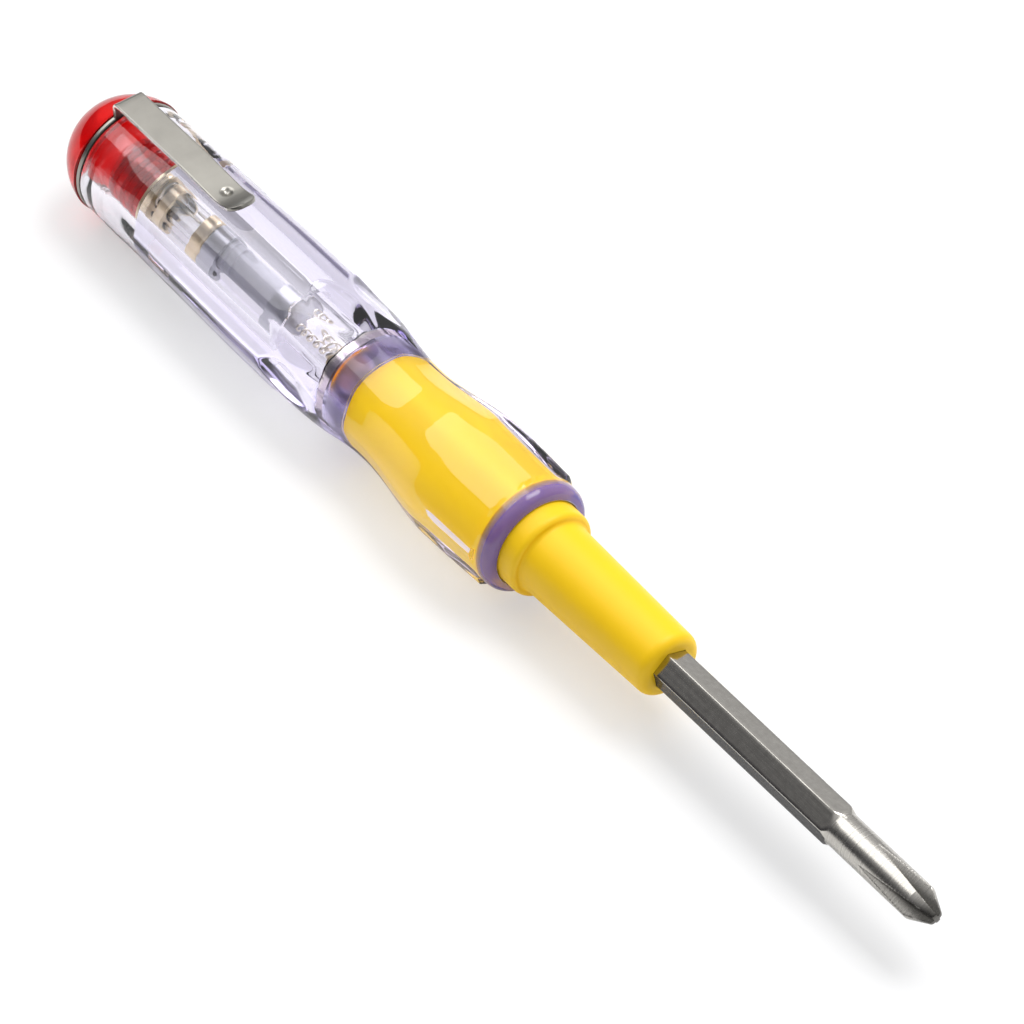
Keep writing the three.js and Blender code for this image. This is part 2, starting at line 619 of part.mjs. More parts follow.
// Bit: a chamfered hex bar with turned ends, four flutes cut in front and two flats behind.
function reversibleBit() {
  const corner = BIT_FLATS / 2 / Math.cos(Math.PI / 6);
  const hexRear = bitRear + TURNED_LENGTH;
  const hexFront = tip - TURNED_LENGTH;
  const coneLength = (TURNED_RADIUS - CROSS_NOSE_RADIUS) / Math.tan(radians(CROSS_CONE_ANGLE));
  const envelope = turned([
    [bitRear, 0],
    [bitRear, TURNED_RADIUS],
    [hexRear, TURNED_RADIUS],
    [hexRear + HEX_CHAMFER, corner],
    [hexFront - HEX_CHAMFER, corner],
    [hexFront, TURNED_RADIUS],
    [tip - coneLength, TURNED_RADIUS],
    [tip, CROSS_NOSE_RADIUS],
    [tip, 0],
  ]);
  const turnedEnds = bar(bitRear, tip, TURNED_RADIUS);
  const stock = solid(hexBar(hexRear, hexFront, BIT_FLATS)).add(solid(turnedEnds));
  let bit = stock.intersect(solid(envelope));
  const past = 2;
  const mouth = 2 * BIT_FLATS;
  const fluteStart = tip - FLUTE_LENGTH;
  const slope = (TURNED_RADIUS - FLUTE_CORE_RADIUS) / FLUTE_LENGTH;
  const spread = Math.tan(radians(FLUTE_OPENING / 2));
  for (let k = 0; k < 4; k++) {
    const section = (station) => {
      const floor = FLUTE_CORE_RADIUS + slope * (tip - station);
      const half = (mouth - floor) * spread;
      return [[station, 0, floor], [station, half, mouth], [station, -half, mouth]];
    };
    const flute = wedge(section(fluteStart - past), section(tip + past));
    bit = bit.subtract(solid(flute.rotateX((k * Math.PI) / 2)));
  }
  for (const side of [1, -1]) {
    const top = side * mouth;
    const edge = (side * BLADE_THICKNESS) / 2;
    const root = bitRear + BLADE_LENGTH;
    const rise = (side * TURNED_RADIUS - edge) / BLADE_LENGTH;
    const face = (y) => [[bitRear - past, y, edge - rise * past], [root, y, edge + rise * BLADE_LENGTH]];
    const section = (y) => [...face(y), [bitRear - past, y, top]];
    const ends = side > 0 ? [section(mouth), section(-mouth)] : [section(-mouth), section(mouth)];
    bit = bit.subtract(solid(wedge(ends[0], ends[1])));
  }
  return geometryOf(bit);
}

// Materials
function finish(color, roughness, metalness, opacity = 1) {
  return new THREE.MeshStandardMaterial({
    color,
    roughness,
    metalness,
    opacity,
    transparent: opacity < 1,
  });
}

const clearPlastic = finish(0xdcd6f2, 0.05, 0, 0.4);
const redPlastic = finish(0xc8141a, 0.1, 0, 0.85);
const yellowPlastic = finish(0xffd615, 0.4, 0);
const clipSteel = finish(0xb7b4a8, 0.3, 1);
const brass = finish(0xc9a75a, 0.3, 1);
const nickel = finish(0xd8d2c4, 0.25, 1);
const lampGlass = finish(0xe8ebee, 0.05, 0, 0.4);
const greyCeramic = finish(0x9a9da3, 0.6, 0);
const toolSteel = finish(0x8d877c, 0.35, 1);

const tool = new THREE.Group();
tool.position.set(-middle, 0, restHeight);

function add(name, geometry, material) {
  const mesh = new THREE.Mesh(geometry, material);
  mesh.name = name;
  tool.add(mesh);
}

const lampCupInner = lampStart + LAMP_CUP_DEPTH;
add("handle_shell", handleShell(), clearPlastic);
add("end_cap", endCap(), redPlastic);
add("pocket_clip", pocketClip(), clipSteel);
add("touch_contact", touchContact(), brass);
const springFloor = CUP_FLOOR + SHEET + SEAT;
add("contact_spring", spring(springFloor, lampStart - SEAT, SPRING_RADIUS, WIRE_RADIUS, SPRING_TURNS), nickel);
add("lamp_cup_rear", cup(lampStart, lampCupInner, endCupRadius, SHEET, SMALL_ROUND), brass);
add("lamp_cup_front", cup(lampEnd, lampEnd - LAMP_CUP_DEPTH, endCupRadius, SHEET, SMALL_ROUND), brass);
const glassRear = lampStart + SHEET + SEAT;
const glassFront = lampEnd - SHEET - SEAT;
const glassInner = LAMP_GLASS_RADIUS - LAMP_GLASS_WALL;
add("lamp_glass", tube(glassRear, glassFront, glassInner, LAMP_GLASS_RADIUS, SMALL_ROUND), lampGlass);
add("lamp_electrode_rear", electrode(glassRear, glassRear + ELECTRODE_LENGTH, -ELECTRODE_SPREAD), nickel);
add("lamp_electrode_front", electrode(glassFront, glassFront - ELECTRODE_LENGTH, ELECTRODE_SPREAD), nickel);
const resistorCupRear = resistorStart + RESISTOR_CUP_DEPTH;
const resistorCupFront = resistorEnd - RESISTOR_CUP_DEPTH;
add("resistor_body", resistorBody(), greyCeramic);
add("resistor_cup_rear", cup(resistorStart, resistorCupRear, endCupRadius, SHEET, SMALL_ROUND), nickel);
add("resistor_cup_front", cup(resistorEnd, resistorCupFront, endCupRadius, SHEET, SMALL_ROUND), nickel);
const frontSpringEnd = plungerRear - SEAT;
const frontSpringFrom = frontSpringStart + SEAT;
const frontSpring = [frontSpringFrom, frontSpringEnd, FRONT_SPRING_RADIUS, FRONT_WIRE_RADIUS, FRONT_SPRING_TURNS];
add("front_spring", spring(...frontSpring), nickel);
add("contact_plunger", contactPlunger(), brass);
add("socket_ring", tube(ringRear, ringFront, SLEEVE_RADIUS - RING_WALL, SLEEVE_RADIUS, ROUND), nickel);
add("bit_sleeve", bitSleeve(), yellowPlastic);
add("reversible_bit", reversibleBit(), toolSteel);

const screwdriver = new THREE.Group();
screwdriver.add(tool);

export default screwdriver;
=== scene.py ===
from math import atan2, cos, degrees, pi, radians, sin, sqrt, tan

import bpy
import bmesh
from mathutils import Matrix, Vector


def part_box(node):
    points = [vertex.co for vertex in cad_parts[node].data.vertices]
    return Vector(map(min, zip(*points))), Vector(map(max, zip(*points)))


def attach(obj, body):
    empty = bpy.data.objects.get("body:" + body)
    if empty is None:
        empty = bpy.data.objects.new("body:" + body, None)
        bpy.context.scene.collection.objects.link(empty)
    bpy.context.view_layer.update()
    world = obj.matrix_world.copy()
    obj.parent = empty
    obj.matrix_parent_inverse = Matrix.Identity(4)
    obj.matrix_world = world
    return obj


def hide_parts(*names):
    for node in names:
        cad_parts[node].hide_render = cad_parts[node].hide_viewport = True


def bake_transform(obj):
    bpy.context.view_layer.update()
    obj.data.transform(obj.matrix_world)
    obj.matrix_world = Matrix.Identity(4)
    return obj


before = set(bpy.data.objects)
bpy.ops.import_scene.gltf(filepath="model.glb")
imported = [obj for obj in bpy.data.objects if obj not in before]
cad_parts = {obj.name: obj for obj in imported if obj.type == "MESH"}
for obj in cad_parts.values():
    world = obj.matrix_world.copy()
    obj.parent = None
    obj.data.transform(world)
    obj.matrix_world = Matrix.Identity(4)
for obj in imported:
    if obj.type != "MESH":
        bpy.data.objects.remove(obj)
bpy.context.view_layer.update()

# Studio. The tool lies on white paper in soft daylight, seen from above and from its tip's side.
# One softbox hangs behind it and one beyond its rear end, so its shadow falls towards the viewer.
# Sizes of the tool are in millimetres, and stations run along its axis from the handle's rear face.
mm = 0.001
rear_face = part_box("handle_shell")[0].x
axis_height = sum(corner.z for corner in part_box("socket_ring")) / 2

view_azimuth = radians(52.9)
view_elevation = radians(45.5)
view_distance = 0.6955
view_lens = 196.7
film_width = 36
view_nearest = 0.05
aim_station = 83.5
aim_rise = 1.1

wall_low = (0.10, 0.10, 0.11)
wall_high = (0.98, 0.98, 1.0)
wall_span = (-0.1, 0.9)
back_share = 0.45
up_share = 0.9
room_glow = 0.75

floor_size = 4.0
paper_grain = 60
paper_tones = ((0.93, 0.93, 0.93), (0.95, 0.95, 0.95))
paper_white = (1.0, 1.0, 1.0)
white_share = {"Camera": 0.5, "Glossy": 0.2, "Transmission": 0.5}

scene = bpy.context.scene
scene.view_settings.view_transform = "Standard"


def add_object(name, data):
    made = bpy.data.objects.new(name, data)
    scene.collection.objects.link(made)
    return made


towards_camera = Vector((
    cos(view_elevation) * sin(view_azimuth),
    -cos(view_elevation) * cos(view_azimuth),
    sin(view_elevation),
))
aim = Vector((rear_face + aim_station * mm, 0, axis_height + aim_rise * mm))
lens = bpy.data.cameras.new("camera")
lens.lens = view_lens
lens.sensor_width = film_width
lens.clip_start = view_nearest
camera = add_object("camera", lens)
camera.location = aim + view_distance * towards_camera
camera.rotation_euler = (-towards_camera).to_track_quat("-Z", "Y").to_euler()
scene.camera = camera


def softbox(name, place, width, height, watts):
    light = bpy.data.lights.new(name, "AREA")
    light.shape = "RECTANGLE"
    light.size = width
    light.size_y = height
    light.energy = watts
    made = add_object(name, light)
    made.location = place
    made.rotation_euler = (aim - Vector(place)).to_track_quat("-Z", "Y").to_euler()


softbox("key_softbox", place=(0.05, 0.38, 0.88), width=0.60, height=0.45, watts=5.6)
softbox("top_softbox", place=(-0.52, -0.04, 0.76), width=0.80, height=0.50, watts=3.2)


class Value:
    """A shader socket for use in Python sums, which add the Math nodes that they need."""

    def __init__(self, finish, socket):
        self.finish = finish
        self.socket = socket

    def math(self, operation, first, second):
        return self.finish.node("ShaderNodeMath", {"operation": operation}, {0: first, 1: second})

    def __add__(self, other):
        return self.math("ADD", self, other)

    def __radd__(self, other):
        return self.math("ADD", other, self)

    def __sub__(self, other):
        return self.math("SUBTRACT", self, other)

    def __rsub__(self, other):
        return self.math("SUBTRACT", other, self)

    def __mul__(self, other):
        return self.math("MULTIPLY", self, other)

    def __rmul__(self, other):
        return self.math("MULTIPLY", other, self)


class Finish:
    """The node tree of a material or of the world, made one node at a time."""

    def __init__(self, name, tree=None):
        if tree is None:
            self.material = bpy.data.materials.new(name)
            self.material.use_nodes = True
            tree = self.material.node_tree
        self.tree = tree
        tree.nodes.clear()

    def node(self, kind, settings=None, inputs=None, output=0):
        made = self.tree.nodes.new(kind)
        for key, value in (settings or {}).items():
            if key == "stops":
                for stop, (place, colour) in zip(made.color_ramp.elements, value):
                    stop.position = place
                    stop.color = (*colour, 1)
            else:
                setattr(made, key, value)
        for key, value in (inputs or {}).items():
            self.give(made.inputs[key], value)
        return Value(self, made.outputs[output])

    def give(self, socket, value):
        if isinstance(value, Value):
            self.tree.links.new(value.socket, socket)
        elif isinstance(value, tuple) and socket.type == "RGBA" and len(value) == 3:
            socket.default_value = (*value, 1)
        else:
            socket.default_value = value

    def blend(self, share, first, second):
        made = self.tree.nodes.new("ShaderNodeMix")
        made.data_type = "RGBA"
        for index, value in ((0, share), (6, first), (7, second)):
            self.give(made.inputs[index], value)
        return Value(self, made.outputs[2])

    def place(self, stretch=(1, 1, 1)):
        """Object coordinates in metres, squeezed along an axis to draw a pattern out along it."""
        where = self.node("ShaderNodeTexCoord", output="Object")
        return self.node("ShaderNodeMapping", {}, {"Vector": where, "Scale": stretch})

    def coordinate(self, axis):
        """One of the three object coordinates."""
        return self.node("ShaderNodeSeparateXYZ", {}, {0: self.place()}, axis)

    def noise(self, scale, detail=3, stretch=(1, 1, 1), rough=0.55):
        values = {"Vector": self.place(stretch), "Scale": scale, "Detail": detail, "Roughness": rough}
        return self.node("ShaderNodeTexNoise", {}, values)

    def between(self, value, low, high):
        """A mask that rises smoothly from 0 to 1 as a value goes from low to high."""
        settings = {"interpolation_type": "SMOOTHSTEP"}
        return self.node("ShaderNodeMapRange", settings, {"Value": value, "From Min": low, "From Max": high})

    def past(self, start, end):
        """A mask that rises from one station to another."""
        return self.between(self.coordinate("X"), rear_face + start * mm, rear_face + end * mm)

    def painted(self, name):
        """A mask that is kept in the mesh, point by point."""
        return self.node("ShaderNodeAttribute", {"attribute_name": name}, output="Fac")

    def bump(self, height, depth, strength):
        return self.node("ShaderNodeBump", {}, {"Height": height, "Distance": depth, "Strength": strength})

    def principled(self, **inputs):
        """A principled shader. Names use _ for spaces."""
        named = {key.replace("_", " "): value for key, value in inputs.items()}
        return self.node("ShaderNodeBsdfPrincipled", {}, named, "BSDF")

    def surface(self, **inputs):
        return self.out(self.principled(**inputs))

    def out(self, shader):
        self.output = self.tree.nodes.new("ShaderNodeOutputMaterial")
        self.give(self.output.inputs["Surface"], shader)
        return self

    def tint_inside(self, colour, density):
        """Colour that deepens with the length of the light's way through the piece."""
        values = {"Color": colour, "Density": density}
        self.give(self.output.inputs["Volume"], self.node("ShaderNodeVolumeAbsorption", {}, values))


sky = bpy.data.worlds.new("studio")
sky.use_nodes = True
scene.world = sky
room = Finish("studio", sky.node_tree)
direction = room.node("ShaderNodeTexCoord", output="Generated")
upwards = room.node("ShaderNodeSeparateXYZ", {}, {0: direction}, "Z")
backwards = room.node("ShaderNodeSeparateXYZ", {}, {0: direction}, "Y")
brightness = room.between(back_share * backwards + up_share * upwards, *wall_span)
walls = room.node("ShaderNodeValToRGB", {"stops": [(0.0, wall_low), (1.0, wall_high)]}, {"Fac": brightness})
glow = room.node("ShaderNodeBackground", {}, {"Color": walls, "Strength": room_glow})
room.give(room.tree.nodes.new("ShaderNodeOutputWorld").inputs["Surface"], glow)

sheet = bpy.data.meshes.new("floor")
corners = [(x * floor_size / 2, y * floor_size / 2, 0) for x, y in ((-1, -1), (1, -1), (1, 1), (-1, 1))]
sheet.from_pydata(corners, [], [(0, 1, 2, 3)])
floor = add_object("floor", sheet)
paper = Finish("paper")
lit = paper.node("ShaderNodeBsdfDiffuse", {}, {"Color": paper.blend(paper.noise(paper_grain), *paper_tones)})
white = paper.node("ShaderNodeEmission", {}, {"Color": paper_white, "Strength": 1.0})
seen = sum(
    share * paper.node("ShaderNodeLightPath", output=f"Is {kind} Ray")
    for kind, share in white_share.items()
)
paper.out(paper.node("ShaderNodeMixShader", {}, {0: seen, 1: lit, 2: white}))
sheet.materials.append(paper.material)

# Handle. A clear acrylic moulding with a violet cast: a grooved rear collar, an eight-sided barrel with
# scoops, a waist, and a front bulge with a round rim. Its stepped bore takes the contact train from behind
# and the sleeve in front, and a keyway on its far side guides the touch contact's arm.
handle_length = (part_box("handle_shell")[1].x - rear_face) / mm
sides = 8
side_pitch = 2 * pi / sides
side_steps = 30
ridge_round = 0.16
ridge_step = radians(0.4)
rear_fillet = 0.4
collar_radius = 8.55
collar_length = 6.5
collar_grooves = (4.6, 5.7)
groove_half = 0.3
collar_groove = 0.02
barrel_radius = 9.12
barrel_taper = 32
barrel_length = 46
rear_flat_depth = 0.3
rear_flat_runout = 5
rear_flat_turn = radians(22.5)
scoop_start = 41.7
scoop_depth = 0.8
scoop_runout = 5
waist_radius = 7.5
waist_start = 60
waist_end = 61
waist_flat_depth = 0.3
bulge_radius = 9.05
bulge_start = 75
bulge_end = 78
front_flat_start = handle_length - 16.6
front_flat_depth = 0.68
front_flat_runout = 9
front_flat_turn = radians(15)
rim_radius = 8.75
rim_start = handle_length - 2.7
rim_step = 0.15
rim_step_rear = rim_start - 0.25
rim_step_front = rim_start + 0.02
rim_fillet = 1.4
fillet_start = handle_length - rim_fillet

cap_bore = 5.9
bore_margin = 0.02
keyway_end = 11.4
arm_outer = 6.4
arm_width = 2.4
arm_room = 0.3
notch_depth = 0.7
slot_run = 1
chamber_radius = 3.3
shoulder = 40.0
plunger_bore = 2.6
socket_floor = 50.7
air_gap = (52.25, 56.35)
air_gap_room = 0.2
sleeve_radius = 5.0
collar_rear = handle_length - 3.3
collar_seat = collar_rear + 0.15
collar_top = 6.3
counterbore = 6.6
counterbore_chamfer = 0.4
wet_fit = 0.03
handle_sharp = radians(40)

acrylic_index = 1.49
acrylic_tint = (0.86, 0.81, 0.99)
acrylic_density = 56
clear_white = (1.0, 1.0, 1.0)
gap_violet = (0.62, 0.53, 0.94)
rim_violet = (0.15, 0.10, 0.52)
rim_share = 0.8
violet_rise = (handle_length - 2.6, handle_length - 1.2)
gap_rise = (52.0, 53.4)
gap_fall = (56.4, 59.5)


def clamp(value):
    return min(1, max(0, value))


def ease(value, start, end):
    share = clamp((value - start) / (end - start))
    return share * share * (3 - 2 * share)


def runout(value, start, length):
    return 1 - (1 - clamp((value - start) / length)) ** 2


def soft_min(first, second, width):
    overlap = max(width - abs(first - second), 0) / width
    return min(first, second) - overlap * overlap * width / 4


def fillet(past, size):
    """How far a rounded edge has drawn in, this far past the start of its rounding."""
    return size - sqrt(max(0, size ** 2 - max(0, past) ** 2))


def round_radius(station):
    radius = collar_radius + (barrel_radius - collar_radius) * min(1, station / barrel_taper)
    radius += (waist_radius - barrel_radius) * ease(station, barrel_length, waist_start)
    radius += (bulge_radius - waist_radius) * ease(station, waist_end, bulge_start)
    return radius + (rim_radius - bulge_radius) * ease(station, bulge_end, handle_length)


def from_flat(angle, turn):
    return angle - turn - side_pitch * round((angle - turn) / side_pitch)


def handle_radius(station, angle):
    whole = round_radius(station)
    rear = from_flat(angle, rear_flat_turn)
    ridge = from_flat(angle, 0)
    front = from_flat(angle, front_flat_turn)
    fading = 1 - ease(station, barrel_length, (waist_start + waist_end) / 2)
    rear_depth = rear_flat_depth * fading * runout(station, collar_length, rear_flat_runout)
    front_depth = front_flat_depth * runout(station, front_flat_start, front_flat_runout)
    waist_depth = waist_flat_depth * ease(station, barrel_length, waist_start)
    radius = soft_min(whole, (whole - rear_depth) / cos(rear), ridge_round)
    for groove in collar_grooves:
        radius -= collar_groove * (1 - ease(abs(station - groove), 0, groove_half))
    for depth in (front_depth, waist_depth):
        radius = soft_min(radius, (whole - depth) / cos(front), ridge_round)
    if scoop_start < station < waist_start:
        cut = scoop_depth * runout(station, scoop_start, scoop_runout)
        radius = soft_min(radius, (barrel_radius - cut) / cos(ridge), ridge_round)
    if station > rim_start:
        radius = min(radius, whole - front_depth - rim_step * ease(station, rim_start, handle_length))
    return radius - fillet(station - fillet_start, rim_fillet) - fillet(rear_fillet - station, rear_fillet)


def stations(start, *runs):
    """Stations after a start, up to each run's end in its number of even steps."""
    made = []
    for end, count in runs:
        made += [start + (end - start) * (k + 1) / count for k in range(count)]
        start = end
    return made


def at(station, radius, angle):
    """A point of the tool: along its axis, out from it, and round from the top towards the viewer."""
    return (rear_face + station * mm, -radius * mm * sin(angle), axis_height + radius * mm * cos(angle))


def tidy_mesh(mesh, sharp):
    """Merges doubles, faces the mesh outwards and shades it smooth up to an angle."""
    work = bmesh.new()
    work.from_mesh(mesh)
    bmesh.ops.remove_doubles(work, verts=work.verts, dist=1e-7)
    bmesh.ops.dissolve_degenerate(work, edges=work.edges, dist=1e-8)
    bmesh.ops.recalc_face_normals(work, faces=work.faces)
    work.to_mesh(mesh)
    work.free()
    mesh.shade_smooth()
    mesh.set_sharp_from_angle(angle=sharp)


def skin(name, rings, finish, loop=False, sharp=radians(30)):
    """A closed mesh over a row of rings with as many points each."""
    count = len(rings[0])
    mesh = bpy.data.meshes.new(name)
    faces = []
    for i in range(len(rings) if loop else len(rings) - 1):
        for j in range(count):
            near = [i * count + j, i * count + (j + 1) % count]
            ahead = (i + 1) % len(rings) * count
            faces.append((near[0], near[1], ahead + (j + 1) % count, ahead + j))
    if not loop:
        faces.append(tuple(range(count)))
        faces.append(tuple((len(rings) - 1) * count + j for j in range(count)))
    mesh.from_pydata([point for ring in rings for point in ring], [], faces)
    tidy_mesh(mesh, sharp)
    mesh.materials.append(finish.material)
    return add_object(name, mesh)


def made_mesh(piece, modifier):
    """Turns a piece with a modifier into a plain mesh."""
    made = bpy.data.meshes.new_from_object(piece.evaluated_get(bpy.context.evaluated_depsgraph_get()))
    piece.modifiers.remove(modifier)
    piece.data = made
    return made


def cut_out(piece, name, rear, front, inner, outer, half):
    """Cuts a straight slot through a piece on the far side of the axis."""
    block = bpy.data.meshes.new(name)
    work = bmesh.new()
    bmesh.ops.create_cube(work, size=1)
    for vertex in work.verts:
        vertex.co.x = rear_face + (rear if vertex.co.x < 0 else front) * mm
        vertex.co.y = (inner if vertex.co.y < 0 else outer) * mm
        vertex.co.z = axis_height + (-half if vertex.co.z < 0 else half) * mm
    work.to_mesh(block)
    work.free()
    cutter = add_object(name, block)
    slotting = piece.modifiers.new("slotting", "BOOLEAN")
    slotting.operation = "DIFFERENCE"
    slotting.solver = "EXACT"
    slotting.object = cutter
    tidy_mesh(made_mesh(piece, slotting), handle_sharp)
    bpy.data.objects.remove(cutter)


def paint(piece, name, share):
    """Keeps a mask in a piece's mesh, from a function of each point."""
    mask = piece.data.attributes.new(name, "FLOAT", "POINT")
    for vertex, value in zip(piece.data.vertices, mask.data):
        value.value = share(vertex)


def settle(piece, body, slot, *nodes):
    """Puts a finished piece on its body in place of its plain solids."""
    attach(piece, body)
    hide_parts(*nodes)


clear = Finish("clear_plastic")
in_bore = clear.painted("bore")
flow = clear.noise(scale=90, detail=2, stretch=(0.35, 1, 1))
ripple = clear.bump(flow, depth=0.00012, strength=0.35)
deep = clear.past(*gap_rise) * (1 - clear.past(*gap_fall))
window = clear.principled(
    Base_Color=clear.blend(deep, clear_white, gap_violet),
    Roughness=0.012 + 0.02 * flow + 0.04 * in_bore + 0.3 * (deep * in_bore),
    IOR=acrylic_index,
    Transmission_Weight=1.0,
    Normal=ripple,
)
edge_on = clear.principled(
    Base_Color=rim_violet,
    Roughness=0.06,
    IOR=acrylic_index,
    Transmission_Weight=0.25,
    Normal=ripple,
)
rim_mask = rim_share * clear.past(*violet_rise)
clear.out(clear.node("ShaderNodeMixShader", {}, {0: rim_mask, 1: window, 2: edge_on}))
clear.tint_inside(acrylic_tint, acrylic_density)

even = [side_pitch * k / side_steps for k in range(side_steps)]
ridges = (side_pitch / 2, side_pitch / 2 + front_flat_turn)
close = [ridge % side_pitch + k * ridge_step for ridge in ridges for k in range(-3, 4)]
angles = sorted({round(turn + side_pitch * k, 5) for turn in even + close for k in range(sides)})
stops = [0] + stations(
    0,
    (rear_fillet, 4),
    (collar_length, 31),
    (collar_length + rear_flat_runout, 26),
    (scoop_start, 24),
    (scoop_start + scoop_runout, 30),
    (waist_start, 32),
    (front_flat_start, 22),
    (rim_step_rear, 44),
    (rim_step_front, 1),
    (fillet_start, 5),
    (handle_length, 10),
)
outside = [[at(station, handle_radius(station, turn), turn) for turn in angles] for station in stops]
bore = [
    (handle_length, counterbore),
    (handle_length - counterbore_chamfer, collar_top - wet_fit),
    (collar_seat, collar_top - wet_fit),
    (collar_seat, sleeve_radius - wet_fit),
    (air_gap[1], sleeve_radius - wet_fit),
    (air_gap[1], sleeve_radius + air_gap_room),
    (air_gap[0], sleeve_radius + air_gap_room),
    (air_gap[0], sleeve_radius - wet_fit),
    (socket_floor, sleeve_radius - wet_fit),
    (socket_floor, plunger_bore),
    (shoulder, plunger_bore),
    (shoulder, chamber_radius),
    (keyway_end, chamber_radius),
    (keyway_end, cap_bore),
    (0, cap_bore),
]
inside = [[at(station, radius, turn) for turn in angles] for station, radius in bore]
handle = skin("handle", outside + inside, clear, loop=True, sharp=handle_sharp)
for name, end, reach in (("keyway", keyway_end, arm_outer + arm_room), ("notch", notch_depth, barrel_radius)):
    cut_out(handle, name, -slot_run, end, cap_bore - slot_run, reach, arm_width / 2 + arm_room)


def on_bore(vertex):
    reach = sqrt(vertex.co.y ** 2 + (vertex.co.z - axis_height) ** 2)
    return 1.0 if reach < (cap_bore + bore_margin) * mm else 0.0


paint(handle, "bore", on_bore)
settle(handle, "handle", "clear_plastic", "handle_shell")

# Sleeve. A yellow moulding with a collar in the handle's counterbore and a tapered nose.
# It is pressed hard into the socket, and its hex bore runs right through and grips the bit.
sleeve_rear = 56.3
sleeve_chamfer = 0.4
sleeve_count = 96
collar_back = collar_rear + 0.1
collar_front = handle_length + 3.0
collar_fillet = 0.9
nose_front = collar_front + 23.5
nose_rear_radius = 5.2
nose_front_radius = 4.65
nose_taper = 1.5
nose_fillet = 1.3
nose_root_fillet = 0.5
hex_flats = 5.0
hex_fit = 0.03
hex_turn = radians(11.4)

nose_yellows = ((0.94, 0.58, 0.002), (0.97, 0.62, 0.006))
# Painted light: the part sunk in the handle is painted a brighter yellow and given a painted glow, standing
# in for the light that the clear handle takes from it.
sunk_painted_light_yellow = (1.0, 0.70, 0.012)
sunk_painted_glow = (0.36, 0.22, 0.002)
no_glow = (0.0, 0.0, 0.0)
sunk_painted_light_fade = (collar_rear - 0.3, collar_rear)


def arc(station, radius, size, start, end, count):
    """Profile points on an arc, with angles in degrees from the axis."""
    turns = [radians(start + (end - start) * i / count) for i in range(count + 1)]
    return [(station + size * cos(turn), radius + size * sin(turn)) for turn in turns]


def hex_radius(angle, across):
    third = pi / 3
    away = angle - hex_turn - third / 2
    return across / 2 / cos(away - third * round(away / third))


yellow = Finish("yellow_plastic")
# Mask of the painted lighter yellow and the painted glow on the part of the sleeve sunk in the handle.
sunk_painted_light = 1 - yellow.past(*sunk_painted_light_fade)
grain = yellow.noise(scale=2600, detail=2)
yellow.surface(
    Base_Color=yellow.blend(sunk_painted_light, yellow.blend(yellow.noise(scale=140), *nose_yellows), sunk_painted_light_yellow),
    Roughness=0.4 + 0.1 * grain,
    IOR=1.5,
    Specular_IOR_Level=0.35,
    Emission_Color=yellow.blend(sunk_painted_light, no_glow, sunk_painted_glow),
    Emission_Strength=1.0,
    Normal=yellow.bump(grain, depth=0.00003, strength=0.4),
)

sleeve_angles = [hex_turn + 2 * pi * k / sleeve_count for k in range(sleeve_count)]
profile = [(sleeve_rear, sleeve_radius - sleeve_chamfer), (sleeve_rear + sleeve_chamfer, sleeve_radius)]
profile += [(collar_back, sleeve_radius), (collar_back, collar_top)]
profile += arc(collar_front - collar_fillet, collar_top - collar_fillet, collar_fillet, 90, 0, 8)
nose_root = (collar_front + nose_root_fillet, nose_rear_radius + nose_root_fillet)
profile += arc(*nose_root, nose_root_fillet, 180, 270, 5)
profile += arc(nose_front - nose_fillet, nose_front_radius - nose_fillet, nose_fillet, 90 - nose_taper, 0, 10)
rings = [[at(station, radius, turn) for turn in sleeve_angles] for station, radius in profile]
for station in (nose_front, sleeve_rear):
    rings.append([at(station, hex_radius(turn, hex_flats + 2 * hex_fit), turn) for turn in sleeve_angles])
sleeve = skin("sleeve", rings, yellow, loop=True)
settle(sleeve, "handle", "yellow_plastic", "bit_sleeve")

# Socket ring. A thin polished band of nickel-plated brass, pressed in at the bottom of the sleeve's socket.
# The plunger's pin runs through it.
ring_rear = 50.8
ring_front = 52.3
ring_wall = 0.6
bevel = 0.12
polished_nickels = ((0.95, 0.88, 0.72), (1.0, 0.95, 0.84))

bright = Finish("polished_nickel")
polish = bright.noise(scale=500)
bright.surface(
    Base_Color=bright.blend(polish, *polished_nickels),
    Metallic=1.0,
    Roughness=0.12 + 0.1 * polish,
)


def turned(name, profile, finish, loop=False, count=72):
    """A piece turned about the tool's axis from (station, radius) points."""
    turns = [2 * pi * k / count for k in range(count)]
    return skin(name, [[at(s, r, turn) for turn in turns] for s, r in profile], finish, loop)


def washer(rear, front, inner, outer):
    """The profile of a ring with bevelled edges."""
    return [
        (rear, inner), (rear, outer - bevel), (rear + bevel, outer),
        (front - bevel, outer), (front, outer - bevel), (front, inner),
    ]


band = washer(ring_rear, ring_front, sleeve_radius - ring_wall, sleeve_radius)
ring = turned("socket_ring", band, bright, loop=True)
settle(ring, "handle", "nickel", "socket_ring")

# Plunger. A pin with a flange, turned from brass rod and bevelled on its edges.
# It slides in the handle's bore, and the front spring pushes it against the bit's inner end.
plunger_rear = 49.0
flange_front = 50.4
plunger_nose = 65.1
flange_radius = 2.3
pin_radius = 1.3
pin_round = 0.65
brasses = ((0.90, 0.74, 0.46), (0.97, 0.84, 0.60))

brass = Finish("brass")
tarnish = brass.noise(scale=420, detail=4)
brass.surface(
    Base_Color=brass.blend(tarnish, *brasses),
    Metallic=1.0,
    Roughness=0.36 + 0.2 * tarnish,
)
profile = [(plunger_rear, 0), (plunger_rear, flange_radius - bevel), (plunger_rear + bevel, flange_radius)]
profile += [(flange_front - bevel, flange_radius), (flange_front, flange_radius - bevel)]
profile += [(flange_front, pin_radius)]
profile += arc(plunger_nose - pin_round, pin_radius - pin_round, pin_round, 90, 0, 6)
profile.append((plunger_nose, 0))
plunger = turned("plunger", profile, brass, count=48)
settle(plunger, "plunger", "brass", "contact_plunger")

